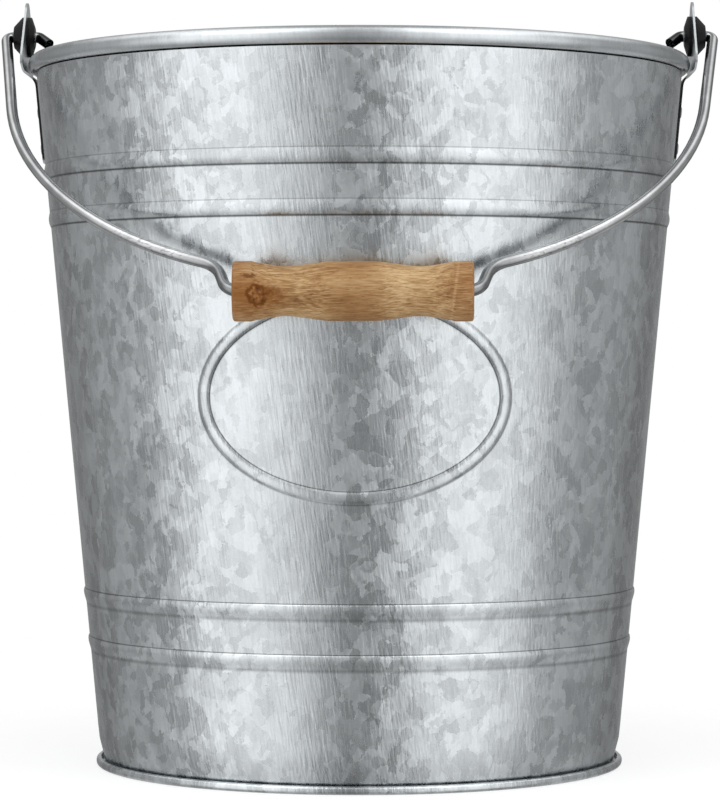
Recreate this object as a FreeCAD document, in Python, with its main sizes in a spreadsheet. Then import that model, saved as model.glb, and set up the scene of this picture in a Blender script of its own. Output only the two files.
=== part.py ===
import FreeCAD, Part
import math
import os
import Sketcher

# Open-top galvanised pail used as a trash can, with a bail handle hanging in front.
# Millimetres. Z is up, the origin is on the floor under the middle of the can,
# the ears are at +X and -X, and the bail hangs down on the -Y side.

doc = FreeCAD.newDocument("pail_trash_can")
sheet_cells = doc.addObject("Spreadsheet::Sheet", "Sizes")

# Driving dimensions
DRIVING = [
    ("wall_sheet", 0.6, "thickness of the galvanised sheet"),
    ("ear_sheet", 0.8, "thickness of the ear plate"),
    ("seat_clearance", 0.05, "gap between pieces that are seated on each other"),
    ("run_clearance", 0.06, "radial gap where a piece turns on the wire"),
    ("rest_clearance", 0.3, "gap between the hanging grip and the can"),
    ("foot_cone_radius", 98.95, "outer radius of the wall's cone carried down to the floor"),
    ("tuck_height", 12.0, "height where the wall begins to tuck in to the chime"),
    ("tuck_depth", 1.6, "how far the wall tucks in at its lower end"),
    ("tuck_round", 30.0, "rounding where the tuck begins"),
    ("rim_radius", 127.0, "outer radius of the rolled rim"),
    ("rim_top", 271.2, "height of the rim's top"),
    ("rim_roll", 7.2, "outer thickness of the rolled rim"),
    ("rim_overhang", 3.08, "how far the rim stands out past the top of the wall's cone"),
    ("rim_opening", 50.0, "angle below level where the rim's free edge stops"),
    ("bead_height", 5.6, "height of one swaged bead"),
    ("bead_peak", 1.0, "height of the bead's corner before it is rounded"),
    ("bead_crown_share", 0.742, "share of a bead's flank that its rounded crown takes up"),
    ("bead_root", 1.4, "radius where a bead leaves the wall"),
    ("bead_pitch", 18.1, "spacing of the two beads of a pair"),
    ("upper_beads_drop", 53.9, "depth of the middle of the upper pair below the rim's top"),
    ("lower_beads", 56.05, "height of the middle of the lower pair"),
    ("oval_height", 141.6, "height of the oval frame's middle"),
    ("oval_half_width", 55.7, "half of the oval's width seen from the front"),
    ("oval_half_height", 38.3, "half of the oval's height"),
    ("oval_band", 4.7, "width of the oval's raised band at top and bottom"),
    ("oval_side_band", 4.1, "width of the band at the sides, seen from the front"),
    ("oval_proud", 0.8, "height of the oval's band above the wall"),
    ("oval_round", 0.7, "rounding of the oval's band"),
    ("seam_angle", 4.0, "angle that the rear lock seam covers"),
    ("seam_top_gap", 9.5, "height from the seam's top to the rim's top"),
    ("flange_reach", 2.1, "width of the flange turned out at the wall's lower end"),
    ("flange_bend", 0.8, "bend radius of that flange"),
    ("chime_wrap", 1.76, "how far the rolled chime stands out past the wall's flange"),
    ("chime_height", 3.1, "height of the chime"),
    ("chime_foot_bend", 1.1, "bend radius at the chime's foot"),
    ("chime_top_bend", 1.0, "bend radius at the chime's top"),
    ("chime_lip", 1.5, "width of the chime's inturned lip"),
    ("pan_floor", 5.6, "height of the middle of the floor sheet"),
    ("pan_skirt_gap", 0.35, "gap between the pan's skirt and the wall"),
    ("pan_bend", 2.0, "bend radius between floor and skirt"),
    ("pan_foot_bend", 0.9, "bend radius between skirt and foot"),
    ("pan_centre", 20.0, "radius of the flat middle of the floor"),
    ("pan_lap", 1.0, "overlap of the floor's middle with the ring round it"),
    ("pivot_rise", 8.2, "height of the bail's hinge axis above the rim's top"),
    ("ear_rim_clearance", 0.8, "gap between the rim and the ear plate"),
    ("ear_tip_rise", 13.0, "height of the ear's tip above the hinge axis"),
    ("ear_apex_rise", 3.85, "height of the ear's corner point above its rounded tip"),
    ("ear_tip_round", 6.4, "radius of the ear's tip"),
    ("ear_half_width", 21.0, "half of the ear plate's width"),
    ("ear_shoulder_drop", 8.4, "depth of the ear's shoulders below the hinge axis"),
    ("ear_side", 3.2, "height of the ear's straight sides"),
    ("ear_strap_half_width", 6.5, "half of the width of the strap that runs down the wall"),
    ("ear_rim_gap", 1.4, "depth below the rolled rim where the strap leaves the wall"),
    ("ear_bead_gap", 1.4, "gap between the strap's lower end and the uppermost bead"),
    ("ear_web_rise", 2.6, "rise of the web that carries the plate out round the rim"),
    ("ear_bend", 1.3, "bend radius where the web turns up into the plate"),
    ("ear_strap_bend", 6.0, "bend radius where the strap leaves the wall"),
    ("ear_corner", 2.5, "corner radius of the ear's shoulders and of the strap's end"),
    ("ear_inner_corner", 1.25, "corner radius where the strap widens into the plate"),
    ("rivet_edge", 5.6, "distance of the lower rivet from the strap's lower end"),
    ("rivet_spacing", 14.0, "spacing of the two rivets of one ear"),
    ("rivet_radius", 1.6, "radius of a rivet's shank"),
    ("rivet_head_radius", 3.0, "radius of a rivet's head"),
    ("rivet_head_crown", 1.8, "radius of the middle of a rivet's head"),
    ("rivet_head_height", 0.7, "height of a rivet's outer head"),
    ("rivet_tail_radius", 2.55, "radius of a rivet's clinched inner end"),
    ("rivet_tail_height", 0.7, "height of a rivet's clinched inner end"),
    ("rivet_tail_round", 0.35, "rounding of a rivet's clinched inner end"),
    ("bush_radius", 7.7, "radius of the bushing's flanges"),
    ("bush_sleeve_radius", 4.0, "radius of the bushing where it passes the ear"),
    ("bush_edge", 1.3, "thickness of a flange at its rim"),
    ("bush_edge_round", 0.3, "rounding of the bushing's edges"),
    ("bush_outer_length", 4.6, "length of the bushing outside the ear"),
    ("bush_outer_radius", 4.2, "radius of the bushing's outer end"),
    ("bush_inner_length", 2.6, "length of the bushing inside the ear"),
    ("bush_inner_radius", 4.0, "radius of the bushing's inner end"),
    ("bush_mouth", 0.8, "widening of the bore at the bushing's outer end"),
    ("bush_mouth_depth", 1.4, "depth of that widening"),
    ("wire_radius", 2.1, "radius of the bail wire"),
    ("bail_overreach", 35.5, "how far the grip's axis lies past the rim's radius from the hinge"),
    ("bail_leg_gap", 1.0, "gap between the bail's leg and the bushing's outer end"),
    ("bail_eye_bend", 2.6, "bend radius where the leg turns into the ear"),
    ("bail_arch_inset", 16.2, "how far the arch's corner lies inside the leg's upper end"),
    ("bail_arch_rise", 44.4, "height of the arch's corner above the grip's axis"),
    ("bail_arch_share", 0.9, "share of the straight run beside the jog that the arch's bend takes up"),
    ("bail_jog_gap", 2.2, "distance of the jog's lower corner from the grip's end"),
    ("bail_jog_lean", 4.1, "how far the jog leans out from its lower to its upper corner"),
    ("bail_jog_depth", 15.0, "depth of the jog beside the grip"),
    ("bail_neck_bend", 11.8, "bend radius at the jog's arch end"),
    ("bail_jog_bend", 6.4, "bend radius at the jog's grip end"),
    ("hook_gap", 1.6, "distance of the hook's corner from the bushing's inner end"),
    ("hook_reach", 5.0, "distance that the hooked end hangs from the hinge axis"),
    ("hook_lean", 4.2, "distance that the hooked end leans to the middle"),
    ("hook_bend", 2.5, "bend radius of the hooked end"),
    ("grip_collar_radius", 10.5, "radius of the grip's end collars"),
    ("grip_collar", 6.5, "length of an end collar"),
    ("grip_collar_round", 1.1, "rounding of an end collar, and the length of its inner step"),
    ("grip_step_round", 0.55, "rounding on both sides of that step"),
    ("grip_step_radius", 10.15, "radius just inside an end collar"),
    ("grip_neck_radius", 8.35, "radius of the neck's corner"),
    ("grip_hollow", 10.7, "length from a collar's step to the neck"),
    ("grip_neck_round", 26.0, "radius of the neck's hollow"),
    ("grip_belly_radius", 10.35, "radius of the grip's belly"),
    ("grip_belly", 9.0, "half of the belly's length"),
    ("grip_flank", 14.5, "length from the neck to the belly"),
    ("grip_belly_round", 30.0, "rounding at the ends of the belly"),
    ("grip_flare", 1.2, "widening of the bore at the grip's ends, where the wire bends away"),
    ("grip_flare_depth", 3.2, "depth of that widening"),
]


class Size:
    """A length, angle or ratio that carries its value and the expression behind it."""

    def __init__(self, text, value):
        self.text = text
        self.value = value

    def __add__(self, other):
        other = as_size(other)
        return Size(f"({self.text} + {other.text})", self.value + other.value)

    def __sub__(self, other):
        other = as_size(other)
        return Size(f"({self.text} - {other.text})", self.value - other.value)

    def __mul__(self, other):
        other = as_size(other)
        return Size(f"({self.text} * {other.text})", self.value * other.value)

    def __truediv__(self, other):
        other = as_size(other)
        return Size(f"({self.text} / {other.text})", self.value / other.value)

    def __neg__(self):
        return Size(f"(0 - {self.text})", -self.value)


def as_size(number):
    if isinstance(number, Size):
        return number
    return Size(repr(float(number)), float(number))


def square_root(size):
    return Size(f"sqrt({size.text})", math.sqrt(size.value))


def arc_tangent(size):
    return Size(f"atan({size.text})", math.degrees(math.atan(size.value)))


def arc_cosine(size):
    return Size(f"acos({size.text})", math.degrees(math.acos(size.value)))


def cosine(size):
    return Size(f"cos({size.text})", math.cos(math.radians(size.value)))


def sine(size):
    return Size(f"sin({size.text})", math.sin(math.radians(size.value)))


def read_sizes():
    """Write the driving dimensions into the sheet and give them back by name."""
    for row, (alias, number, meaning) in enumerate(DRIVING, start=1):
        sheet_cells.set(f"A{row}", meaning)
        sheet_cells.set(f"B{row}", str(number))
        sheet_cells.setAlias(f"B{row}", alias)
    doc.recompute()
    return {alias: Size(f"Sizes.{alias}", float(sheet_cells.get(alias))) for alias, _, _ in DRIVING}


D = read_sizes()
ZERO = as_size(0)
ON_AXIS = 1e-9
OVERRUN = 1.2
EDGE_SAMPLES = (0.1, 0.5, 0.9)
LEVEL_SHARE = 0.25


def bind(thing, path, size):
    """Tie one property of an object to the sheet."""
    thing.setExpression(path, as_size(size).text)


# Sketching

PLANES = {
    "XY": FreeCAD.Rotation(),
    "XZ": FreeCAD.Rotation(FreeCAD.Vector(1, 0, 0), 90),
    "YZ": FreeCAD.Rotation(FreeCAD.Vector(1, 1, 1), 120),
}


def free_sketch(name, plane):
    sketch = doc.addObject("Sketcher::SketchObject", name)
    sketch.Placement = FreeCAD.Placement(FreeCAD.Vector(), PLANES[plane])
    return sketch


def body_sketch(body, name, role):
    sketch = body.newObject("Sketcher::SketchObject", name)
    plane = [f for f in body.Origin.OriginFeatures if f.Role == role][0]
    sketch.AttachmentSupport = [(plane, "")]
    sketch.MapMode = "FlatFace"
    return sketch


def pin(sketch, geometry, vertex, x, y, tag):
    """Hold one point of the sketch at an (x, y) that comes from the sheet."""
    for kind, axis, size in (("DistanceX", -2, x), ("DistanceY", -1, y)):
        size = as_size(size)
        if abs(size.value) < ON_AXIS:
            sketch.addConstraint(Sketcher.Constraint("PointOnObject", geometry, vertex, axis))
            continue
        if size.value > 0:
            rule = Sketcher.Constraint(kind, -1, 1, geometry, vertex, size.value)
        else:
            size = -size
            rule = Sketcher.Constraint(kind, geometry, vertex, -1, 1, size.value)
        number = sketch.addConstraint(rule)
        sketch.renameConstraint(number, f"{tag}_{kind[-1].lower()}")
        sketch.setExpression(f"Constraints.{tag}_{kind[-1].lower()}", size.text)


def vector(x, y):
    return FreeCAD.Vector(as_size(x).value, as_size(y).value, 0)


def draw_run(sketch, corners, closed=False):
    """Draw straight runs through the corners, each corner rounded where it has a radius.

    A corner is (x, y) or (x, y, radius). Gives back the number of the last line.
    """
    count = len(corners)
    points = [vector(c[0], c[1]) for c in corners]
    entry, leave, rounds = [], [], []
    for i, corner in enumerate(corners):
        is_end = not closed and i in (0, count - 1)
        if len(corner) < 3 or is_end:
            entry.append(points[i])
            leave.append(points[i])
            rounds.append(None)
            continue
        back = (points[i - 1] - points[i]).normalize()
        ahead = (points[(i + 1) % count] - points[i]).normalize()
        half = back.getAngle(ahead) / 2
        radius = as_size(corner[2]).value
        reach = radius / math.tan(half)
        middle = (back + ahead).normalize() * (radius / math.sin(half))
        entry.append(points[i] + back * reach)
        leave.append(points[i] + ahead * reach)
        crown = points[i] + middle - (back + ahead).normalize() * radius
        rounds.append(Part.Arc(entry[i], crown, leave[i]))
    spans = count if closed else count - 1
    lines = []
    for i in range(spans):
        segment = Part.LineSegment(leave[i], entry[(i + 1) % count])
        lines.append(sketch.addGeometry(segment, False))
    for i, corner in enumerate(corners):
        before = lines[i - 1] if (closed or i > 0) else None
        after = lines[i] if i < spans else None
        if rounds[i] is None:
            if before is not None and after is not None:
                sketch.addConstraint(Sketcher.Constraint("Coincident", before, 2, after, 1))
            holder = (after, 1) if after is not None else (before, 2)
            pin(sketch, holder[0], holder[1], corner[0], corner[1], f"corner_{i}")
            continue
        arc = sketch.addGeometry(rounds[i], False)
        turn = arc_starts_at(sketch, arc, entry[i])
        sketch.addConstraint(Sketcher.Constraint("Tangent", before, 2, arc, 1 if turn else 2))
        sketch.addConstraint(Sketcher.Constraint("Tangent", arc, 2 if turn else 1, after, 1))
        mark = sketch.addGeometry(Part.Point(points[i]), True)
        sketch.addConstraint(Sketcher.Constraint("PointOnObject", mark, 1, before))
        sketch.addConstraint(Sketcher.Constraint("PointOnObject", mark, 1, after))
        pin(sketch, mark, 1, corner[0], corner[1], f"corner_{i}")
        size = as_size(corner[2])
        number = sketch.addConstraint(Sketcher.Constraint("Radius", arc, size.value))
        sketch.renameConstraint(number, f"round_{i}")
        sketch.setExpression(f"Constraints.round_{i}", size.text)
    return lines[-1]


def arc_starts_at(sketch, arc, point):
    return sketch.getPoint(arc, 1).distanceToPoint(point) < sketch.getPoint(arc, 2).distanceToPoint(point)


# Building blocks


def thicken(name, sketch, thickness):
    """Sheet of even thickness about a drawn middle line."""
    face = doc.addObject("Part::Offset2D", name)
    face.Source = sketch
    face.Fill = True
    face.Mode = "Pipe"
    face.Join = "Arc"
    bind(face, "Value", as_size(thickness) / 2)
    return face


def revolve(name, source, angle=360, symmetric=False):
    """Turn a face round the can's axis."""
    solid = doc.addObject("Part::Revolution", name)
    solid.Source = source
    solid.Axis = FreeCAD.Vector(0, 0, 1)
    solid.Solid = True
    solid.Symmetric = symmetric
    bind(solid, "Angle", angle)
    return solid


def turned_body(name, corners, axis="H_Axis", role="XZ_Plane"):
    """Turned piece: a closed half section spun round an axis of its sketch."""
    body = doc.addObject("PartDesign::Body", name)
    sketch = body_sketch(body, f"{name}_section", role)
    draw_run(sketch, corners, closed=True)
    spin = body.newObject("PartDesign::Revolution", f"{name}_turned")
    spin.Profile = sketch
    spin.ReferenceAxis = (sketch, [axis])
    spin.Angle = 360
    return body


def join(name, pieces):
    fused = doc.addObject("Part::MultiFuse", name)
    fused.Shapes = pieces
    fused.Refine = True
    return fused


def cut(name, base, tool):
    result = doc.addObject("Part::Cut", name)
    result.Base = base
    result.Tool = tool
    return result


def common(name, pieces):
    result = doc.addObject("Part::MultiCommon", name)
    result.Shapes = pieces
    return result


def mirrored(name, source, normal):
    twin = doc.addObject("Part::Mirroring", name)
    twin.Source = source
    twin.Normal = normal
    return twin


def group(name, pieces):
    bundle = doc.addObject("Part::Compound", name)
    bundle.Links = pieces
    return bundle


def cone_between(name, low, high, offset):
    """Solid cone that follows the wall's outer face, moved out by an offset."""
    cone = doc.addObject("Part::Cone", name)
    bind(cone, "Radius1", wall_radius(low) + offset)
    bind(cone, "Radius2", wall_radius(high) + offset)
    bind(cone, "Height", high - low)
    bind(cone, "Placement.Base.z", low)
    return cone


def wall_radius(height):
    """Outer radius of the plain conical wall at a height."""
    return D["foot_cone_radius"] + cone_slope * height


# Can wall

half_sheet = D["wall_sheet"] / 2
rim_centre_radius = D["rim_radius"] - D["rim_roll"] / 2
rim_centre_height = D["rim_top"] - D["rim_roll"] / 2
rim_middle_line = D["rim_roll"] / 2 - half_sheet
wall_top = rim_centre_height - rim_middle_line
cone_slope = (D["rim_radius"] - D["rim_overhang"] - D["foot_cone_radius"]) / wall_top
flange_height = D["wall_sheet"] + half_sheet + D["seat_clearance"]
wall_end_radius = wall_radius(flange_height) - D["tuck_depth"] - half_sheet


def wall_middle(height):
    return wall_radius(height) - half_sheet


half_bead = D["bead_height"] / 2
bead_flank = square_root(half_bead * half_bead + D["bead_peak"] * D["bead_peak"])
bead_crown = D["bead_crown_share"] * bead_flank * half_bead / D["bead_peak"]


def bead_corners(height):
    """Three corners of one swaged bead on the wall's middle line."""
    low = height - half_bead
    high = height + half_bead
    return [
        (wall_middle(low), low, D["bead_root"]),
        (wall_middle(height) + D["bead_peak"], height, bead_crown),
        (wall_middle(high), high, D["bead_root"]),
    ]


upper_beads = D["rim_top"] - D["upper_beads_drop"]
bead_heights = [
    D["lower_beads"] - D["bead_pitch"] / 2,
    D["lower_beads"] + D["bead_pitch"] / 2,
    upper_beads - D["bead_pitch"] / 2,
    upper_beads + D["bead_pitch"] / 2,
]
wall_run = [
    (wall_end_radius + D["flange_reach"], flange_height),
    (wall_end_radius, flange_height, D["flange_bend"]),
    (wall_middle(D["tuck_height"]), D["tuck_height"], D["tuck_round"]),
]
for bead_height in bead_heights:
    wall_run += bead_corners(bead_height)
wall_run.append((wall_middle(wall_top), wall_top))

wall_line = free_sketch("can_wall_line", "XZ")
last_line = draw_run(wall_line, wall_run)


def draw_rim_roll(sketch, line):
    """Roll the wall's upper edge over the top and back down on the outside."""
    start = sketch.getPoint(line, 2)
    centre = vector(rim_centre_radius, rim_centre_height)
    reach = rim_middle_line * cosine(D["rim_opening"])
    radius = start.distanceToPoint(centre)
    from_angle = -math.acos(reach.value / radius)
    to_angle = math.atan2(start.y - centre.y, start.x - centre.x) + 2 * math.pi
    circle = Part.Circle(centre, FreeCAD.Vector(0, 0, 1), radius)
    arc = sketch.addGeometry(Part.ArcOfCircle(circle, from_angle, to_angle), False)
    sketch.addConstraint(Sketcher.Constraint("Coincident", line, 2, arc, 2))
    pin(sketch, arc, 3, rim_centre_radius, rim_centre_height, "rim_centre")
    number = sketch.addConstraint(Sketcher.Constraint("DistanceX", arc, 3, arc, 1, reach.value))
    sketch.renameConstraint(number, "rim_edge")
    sketch.setExpression("Constraints.rim_edge", reach.text)


draw_rim_roll(wall_line, last_line)
plain_wall = revolve("plain_wall", thicken("can_wall_section", wall_line, D["wall_sheet"]))

# Oval frame pressed into the front of the wall

ELLIPSE_TURN = FreeCAD.Rotation(FreeCAD.Vector(1, 0, 0), 90)
oval_low = D["oval_height"] - D["oval_half_height"] * OVERRUN
oval_high = D["oval_height"] + D["oval_half_height"] * OVERRUN


def oval_prism(name, half_width, half_height):
    """Elliptic prism that runs forward through the front of the wall."""
    ellipse = doc.addObject("Part::Ellipse", f"{name}_edge")
    ellipse.Placement = FreeCAD.Placement(FreeCAD.Vector(), ELLIPSE_TURN)
    bind(ellipse, "MajorRadius", half_width)
    bind(ellipse, "MinorRadius", half_height)
    bind(ellipse, "Placement.Base.z", D["oval_height"])
    prism = doc.addObject("Part::Extrusion", name)
    prism.Base = ellipse
    prism.DirMode = "Custom"
    prism.Dir = FreeCAD.Vector(0, -1, 0)
    prism.Solid = True
    bind(prism, "LengthFwd", D["rim_radius"] * OVERRUN)
    return prism


def oval_ring(name, inset):
    """Elliptic ring with both of its edges drawn in by an inset."""
    outer = oval_prism(f"{name}_outside", D["oval_half_width"] - inset, D["oval_half_height"] - inset)
    inner_width = D["oval_half_width"] - D["oval_side_band"] + inset
    inner_height = D["oval_half_height"] - D["oval_band"] + inset
    inner = oval_prism(f"{name}_inside", inner_width, inner_height)
    return cut(name, outer, inner)


def cone_layer(name, inner_offset, outer_offset):
    """Layer of the can's cone between two offsets from the wall's outer face."""
    outer = cone_between(f"{name}_outside", oval_low, oval_high, outer_offset)
    inner = cone_between(f"{name}_inside", oval_low, oval_high, inner_offset)
    return cut(name, outer, inner)


def round_outer_edges(name, base, radius):
    """Round the edges of the ridge that stand away from the wall."""
    doc.recompute()
    rounded = doc.addObject("Part::Fillet", name)
    rounded.Base = base
    edges = []
    for number, edge in enumerate(base.Shape.Edges, start=1):
        middle = edge.valueAt((edge.FirstParameter + edge.LastParameter) / 2)
        stand = math.hypot(middle.x, middle.y) - wall_radius(as_size(middle.z)).value
        if stand > D["oval_proud"].value / 2 and is_rim_edge(edge):
            edges.append((number, radius.value, radius.value))
    rounded.Edges = edges
    return rounded


def is_rim_edge(edge):
    """True for an edge that keeps one height above the wall along its length."""
    span = edge.LastParameter - edge.FirstParameter
    stands = []
    for share in EDGE_SAMPLES:
        point = edge.valueAt(edge.FirstParameter + span * share)
        stands.append(math.hypot(point.x, point.y) - wall_radius(as_size(point.z)).value)
    return max(stands) - min(stands) < D["oval_round"].value * LEVEL_SHARE


ridge_layer = cone_layer("oval_ridge_layer", ZERO - half_sheet, D["oval_proud"])
sharp_ridge = common("oval_ridge_sharp", [oval_ring("oval_ridge_ring", ZERO), ridge_layer])
ridge = round_outer_edges("oval_ridge", sharp_ridge, D["oval_round"])
groove_layer = cone_layer(
    "oval_groove_layer", ZERO - D["wall_sheet"] * 2, D["oval_proud"] - D["wall_sheet"]
)
groove = common("oval_groove", [oval_ring("oval_groove_ring", D["wall_sheet"]), groove_layer])

# Lock seam down the back of the wall

seam_foot = D["chime_height"] + D["wall_sheet"] * 2
seam_top = D["rim_top"] - D["seam_top_gap"]
tuck_slope = (wall_middle(D["tuck_height"]) - wall_end_radius) / (D["tuck_height"] - flange_height)
seam_foot_radius = wall_end_radius + tuck_slope * (seam_foot - flange_height)
seam_half = D["wall_sheet"] + half_sheet
seam_section = free_sketch("lock_seam_section", "XZ")
draw_run(
    seam_section,
    [
        (seam_foot_radius + seam_half, seam_foot),
        (wall_middle(D["tuck_height"]) + seam_half, D["tuck_height"]),
        (wall_middle(seam_top) + seam_half, seam_top),
        (wall_middle(seam_top) - seam_half, seam_top),
        (wall_middle(D["tuck_height"]) - seam_half, D["tuck_height"]),
        (seam_foot_radius - seam_half, seam_foot),
    ],
    closed=True,
)
seam = revolve("lock_seam", seam_section, D["seam_angle"], symmetric=True)
seam.Placement = FreeCAD.Placement(FreeCAD.Vector(), FreeCAD.Rotation(FreeCAD.Vector(0, 0, 1), 90))

# Rivets and their holes, two above one another on each ear's strap

wall_tilt = arc_tangent(cone_slope)
normal_factor = square_root(as_size(1) + cone_slope * cone_slope)
ear_strap_top = D["rim_top"] - D["rim_roll"] - D["ear_rim_gap"]
ear_strap_end = bead_heights[-1] + half_bead + D["ear_bead_gap"]
rivet_heights = [
    ear_strap_end + D["rivet_edge"],
    ear_strap_end + D["rivet_edge"] + D["rivet_spacing"],
]
rivet_seat = D["ear_sheet"] + D["seat_clearance"] * 2
wall_sag = D["rivet_head_radius"] * D["rivet_head_radius"] / (wall_radius(ear_strap_end) * 2)
rivet_inside = ZERO - D["wall_sheet"] - wall_sag - D["seat_clearance"]
drill_reach = D["rivet_head_radius"]
drill_turn = Size(f"(90 deg + {wall_tilt.text})", wall_tilt.value + 90)


def lean_on_wall(thing, angle):
    """Turn a piece about the Y axis by an angle that follows the wall's slope."""
    turn = FreeCAD.Rotation(FreeCAD.Vector(0, 1, 0), angle.value)
    thing.Placement = FreeCAD.Placement(FreeCAD.Vector(), turn)
    bind(thing, "Placement.Rotation.Angle", angle)


def ear_rivet(name, height):
    """Rivet with a domed head outside the strap and a clinched end inside the wall."""
    rivet = turned_body(
        name,
        [
            (rivet_inside - D["rivet_tail_height"], ZERO),
            (rivet_inside - D["rivet_tail_height"], D["rivet_tail_radius"], D["rivet_tail_round"]),
            (rivet_inside, D["rivet_tail_radius"]),
            (rivet_inside, D["rivet_radius"]),
            (rivet_seat, D["rivet_radius"]),
            (rivet_seat, D["rivet_head_radius"]),
            (rivet_seat + D["rivet_head_height"], D["rivet_head_crown"], D["rivet_head_height"]),
            (rivet_seat + D["rivet_head_height"], ZERO),
        ],
    )
    lean_on_wall(rivet, wall_tilt)
    bind(rivet, "Placement.Base.x", wall_radius(height))
    bind(rivet, "Placement.Base.z", height)
    return rivet


def rivet_drill(name, height):
    """Drill for one rivet's hole through the strap and the wall."""
    drill = doc.addObject("Part::Cylinder", name)
    lean_on_wall(drill, drill_turn)
    bind(drill, "Radius", D["rivet_radius"] + D["seat_clearance"])
    bind(drill, "Height", drill_reach * 2)
    bind(drill, "Placement.Base.x", wall_radius(height) - drill_reach * cosine(wall_tilt))
    bind(drill, "Placement.Base.z", height + drill_reach * sine(wall_tilt))
    return drill


rivets = []
drills = []
for place, rivet_height in zip(("lower", "upper"), rivet_heights):
    rivets.append(ear_rivet(f"{place}_rivet", rivet_height))
    drills.append(rivet_drill(f"{place}_drill", rivet_height))
right_ear_rivets = group("right_ear_rivets", rivets)
left_ear_rivets = mirrored("left_ear_rivets", right_ear_rivets, FreeCAD.Vector(1, 0, 0))
right_drills = group("right_drills", drills)
left_drills = mirrored("left_drills", right_drills, FreeCAD.Vector(1, 0, 0))

raised_wall = join("raised_wall", [plain_wall, ridge, seam])
pressed_wall = cut("pressed_wall", raised_wall, groove)
can_wall = cut("can_wall", cut("right_drilled_wall", pressed_wall, right_drills), left_drills)

# Wire inside the rolled rim

rim_wire = doc.addObject("Part::Torus", "rim_wire")
bind(rim_wire, "Radius1", rim_centre_radius)
bind(rim_wire, "Radius2", D["rim_roll"] / 2 - D["wall_sheet"] - D["seat_clearance"] * 2)
bind(rim_wire, "Placement.Base.z", rim_centre_height)

# Base pan with its rolled chime

skirt_radius = wall_end_radius - D["wall_sheet"] - D["pan_skirt_gap"]
chime_middle = wall_end_radius + D["flange_reach"] + D["chime_wrap"] - half_sheet
chime_top = D["chime_height"] - half_sheet
pan_line = free_sketch("base_pan_line", "XZ")
draw_run(
    pan_line,
    [
        (D["pan_centre"], D["pan_floor"]),
        (skirt_radius, D["pan_floor"], D["pan_bend"]),
        (skirt_radius, half_sheet, D["pan_foot_bend"]),
        (chime_middle, half_sheet, D["chime_foot_bend"]),
        (chime_middle, chime_top, D["chime_top_bend"]),
        (chime_middle - D["chime_lip"], chime_top),
    ],
)
pan_ring = revolve("base_pan_ring", thicken("base_pan_section", pan_line, D["wall_sheet"]))
pan_middle = doc.addObject("Part::Cylinder", "base_pan_middle")
bind(pan_middle, "Radius", D["pan_centre"] + D["pan_lap"])
bind(pan_middle, "Height", D["wall_sheet"])
bind(pan_middle, "Placement.Base.z", D["pan_floor"] - half_sheet)
base_pan = join("base_pan", [pan_ring, pan_middle])

# Ears

pivot_height = D["rim_top"] + D["pivot_rise"]
ear_face = D["rim_radius"] + D["ear_rim_clearance"]
ear_middle = ear_face + D["ear_sheet"] / 2
ear_tip = pivot_height + D["ear_tip_rise"]
ear_shoulder = pivot_height - D["ear_shoulder_drop"]
ear_waist = ear_shoulder - D["ear_side"]


def strap_middle(height):
    return wall_radius(height) + (D["ear_sheet"] / 2 + D["seat_clearance"]) * normal_factor


ear_line = free_sketch("ear_line", "XZ")
draw_run(
    ear_line,
    [
        (strap_middle(ear_strap_end), ear_strap_end),
        (strap_middle(ear_strap_top), ear_strap_top, D["ear_strap_bend"]),
        (ear_middle, ear_strap_top + D["ear_web_rise"], D["ear_bend"]),
        (ear_middle, ear_tip + D["ear_sheet"]),
    ],
)
ear_strip = doc.addObject("Part::Extrusion", "ear_strip")
ear_strip.Base = thicken("ear_section", ear_line, D["ear_sheet"])
ear_strip.DirMode = "Custom"
ear_strip.Dir = FreeCAD.Vector(0, 1, 0)
ear_strip.Solid = True
ear_strip.Symmetric = True
bind(ear_strip, "LengthFwd", D["ear_half_width"] * 2 * OVERRUN)

ear_outline = free_sketch("ear_outline", "YZ")
draw_run(
    ear_outline,
    [
        (ZERO - D["ear_strap_half_width"], ear_strap_end, D["ear_corner"]),
        (D["ear_strap_half_width"], ear_strap_end, D["ear_corner"]),
        (D["ear_strap_half_width"], ear_strap_top, D["ear_inner_corner"]),
        (D["ear_half_width"], ear_waist, D["ear_inner_corner"]),
        (D["ear_half_width"], ear_shoulder, D["ear_corner"]),
        (ZERO, ear_tip + D["ear_apex_rise"], D["ear_tip_round"]),
        (ZERO - D["ear_half_width"], ear_shoulder, D["ear_corner"]),
        (ZERO - D["ear_half_width"], ear_waist, D["ear_inner_corner"]),
        (ZERO - D["ear_strap_half_width"], ear_strap_top, D["ear_inner_corner"]),
    ],
    closed=True,
)
ear_block = doc.addObject("Part::Extrusion", "ear_block")
ear_block.Base = ear_outline
ear_block.DirMode = "Custom"
ear_block.Dir = FreeCAD.Vector(1, 0, 0)
ear_block.Solid = True
bind(ear_block, "LengthFwd", ear_face + D["bush_radius"])

ear_hole = doc.addObject("Part::Cylinder", "ear_hole")
ear_hole.Placement = FreeCAD.Placement(
    FreeCAD.Vector(), FreeCAD.Rotation(FreeCAD.Vector(0, 1, 0), 90)
)
bind(ear_hole, "Radius", D["bush_sleeve_radius"] + D["seat_clearance"])
bind(ear_hole, "Height", ear_face + D["bush_radius"])
bind(ear_hole, "Placement.Base.z", pivot_height)

ear_blank = common("ear_blank", [ear_strip, ear_block])
right_ear = cut("right_ear", cut("ear_bored", ear_blank, ear_hole), right_drills)
left_ear = mirrored("left_ear", right_ear, FreeCAD.Vector(1, 0, 0))

# Bushings

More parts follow.
